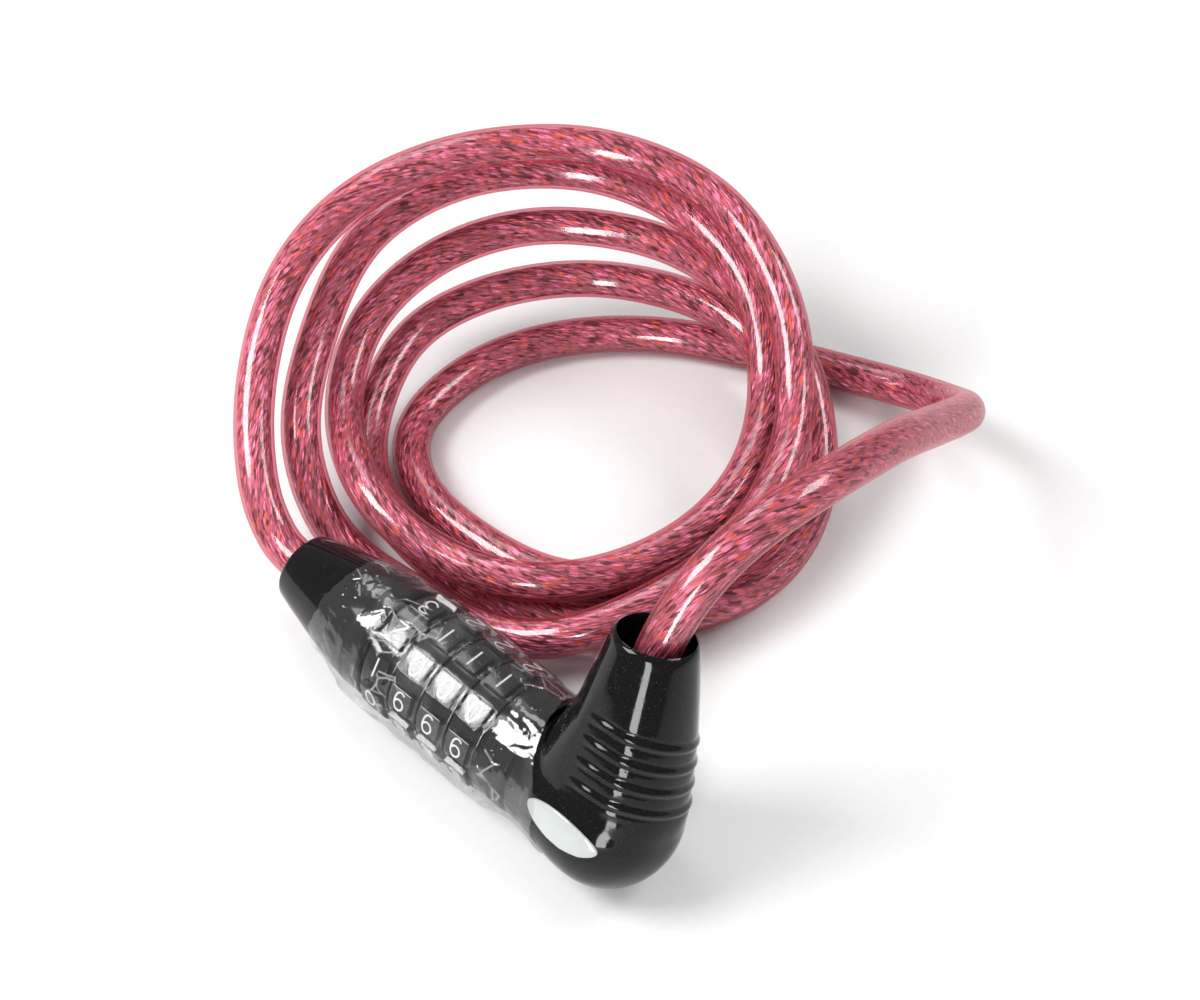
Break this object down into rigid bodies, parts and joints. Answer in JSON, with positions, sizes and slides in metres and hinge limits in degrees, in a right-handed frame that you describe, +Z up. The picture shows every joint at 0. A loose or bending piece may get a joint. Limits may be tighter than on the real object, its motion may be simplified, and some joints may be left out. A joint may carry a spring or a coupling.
{
  "type": "combination cable lock",
  "caption": "Combination lock barrel with number dials, an elbow-shaped pull-out plug and a coiled, sleeved steel cable.",
  "frame": {"origin": "on the ground under the middle of the barrel and elbow, measured without the cable", "axes": "+X along the barrel from the cone cap to the elbow, +Y from the barrel towards the coil, +Z up"},
  "size_m": [0.1389, 0.1406, 0.066],
  "materials": {
    "cap_plastic": "black, moulded, glossy",
    "collar_plastic": "black, moulded, glossy",
    "elbow_plastic": "black, moulded, glossy",
    "dial_plastic": "black tiles with thin white numerals",
    "inlay_plastic": "very light grey, smooth",
    "clear_film": "clear shrunk film, wrinkled",
    "cable_sleeve": "raspberry-pink clear sleeve over twisted steel rope",
    "ferrule_steel": "crimped",
    "rope_steel": "twisted wires",
    "core_steel": "turned",
    "spring_steel": "stamped strip",
    "pin_steel": "plated",
    "ring_brass": "turned"
  },
  "bodies": {
    "lock_body": {"cone_cap": "cap_plastic", "fixed_ferrule": "ferrule_steel", "fixed_rope_end": "rope_steel", "rear_collar": "collar_plastic", "core_tube": "core_steel", "detent_spring": "spring_steel", "retaining_ring": "spring_steel", "front_collar": "collar_plastic", "shrink_film": "clear_film", "cable": "cable_sleeve"},
    "plug": {"elbow": "elbow_plastic", "plug_ferrule": "ferrule_steel", "plug_rope_end": "rope_steel", "locking_pin": "pin_steel", "cross_rivet": "pin_steel", "cheek_inlay": "inlay_plastic"},
    "dial_1_body": {"dial_1": "dial_plastic", "code_ring_1": "ring_brass"},
    "dial_2_body": {"dial_2": "dial_plastic", "code_ring_2": "ring_brass"},
    "dial_3_body": {"dial_3": "dial_plastic", "code_ring_3": "ring_brass"},
    "dial_4_body": {"dial_4": "dial_plastic", "code_ring_4": "ring_brass"}
  },
  "joints": [
    {"name": "dial_1_spin", "type": "hinge", "parent": "lock_body", "child": "dial_1_body", "pos_m": [-0.01525, -0.0042, 0.0136], "axis": [1, 0, 0], "continuous": true},
    {"name": "dial_2_spin", "type": "hinge", "parent": "lock_body", "child": "dial_2_body", "pos_m": [-0.00795, -0.0042, 0.0136], "axis": [1, 0, 0], "continuous": true},
    {"name": "dial_3_spin", "type": "hinge", "parent": "lock_body", "child": "dial_3_body", "pos_m": [-0.00065, -0.0042, 0.0136], "axis": [1, 0, 0], "continuous": true},
    {"name": "dial_4_spin", "type": "hinge", "parent": "lock_body", "child": "dial_4_body", "pos_m": [0.00665, -0.0042, 0.0136], "axis": [1, 0, 0], "continuous": true},
    {"name": "plug_slide", "type": "slide", "parent": "lock_body", "child": "plug", "axis": [1, 0, 0], "range_m": [0, 0.04], "deforming": ["cable"]}
  ]
}
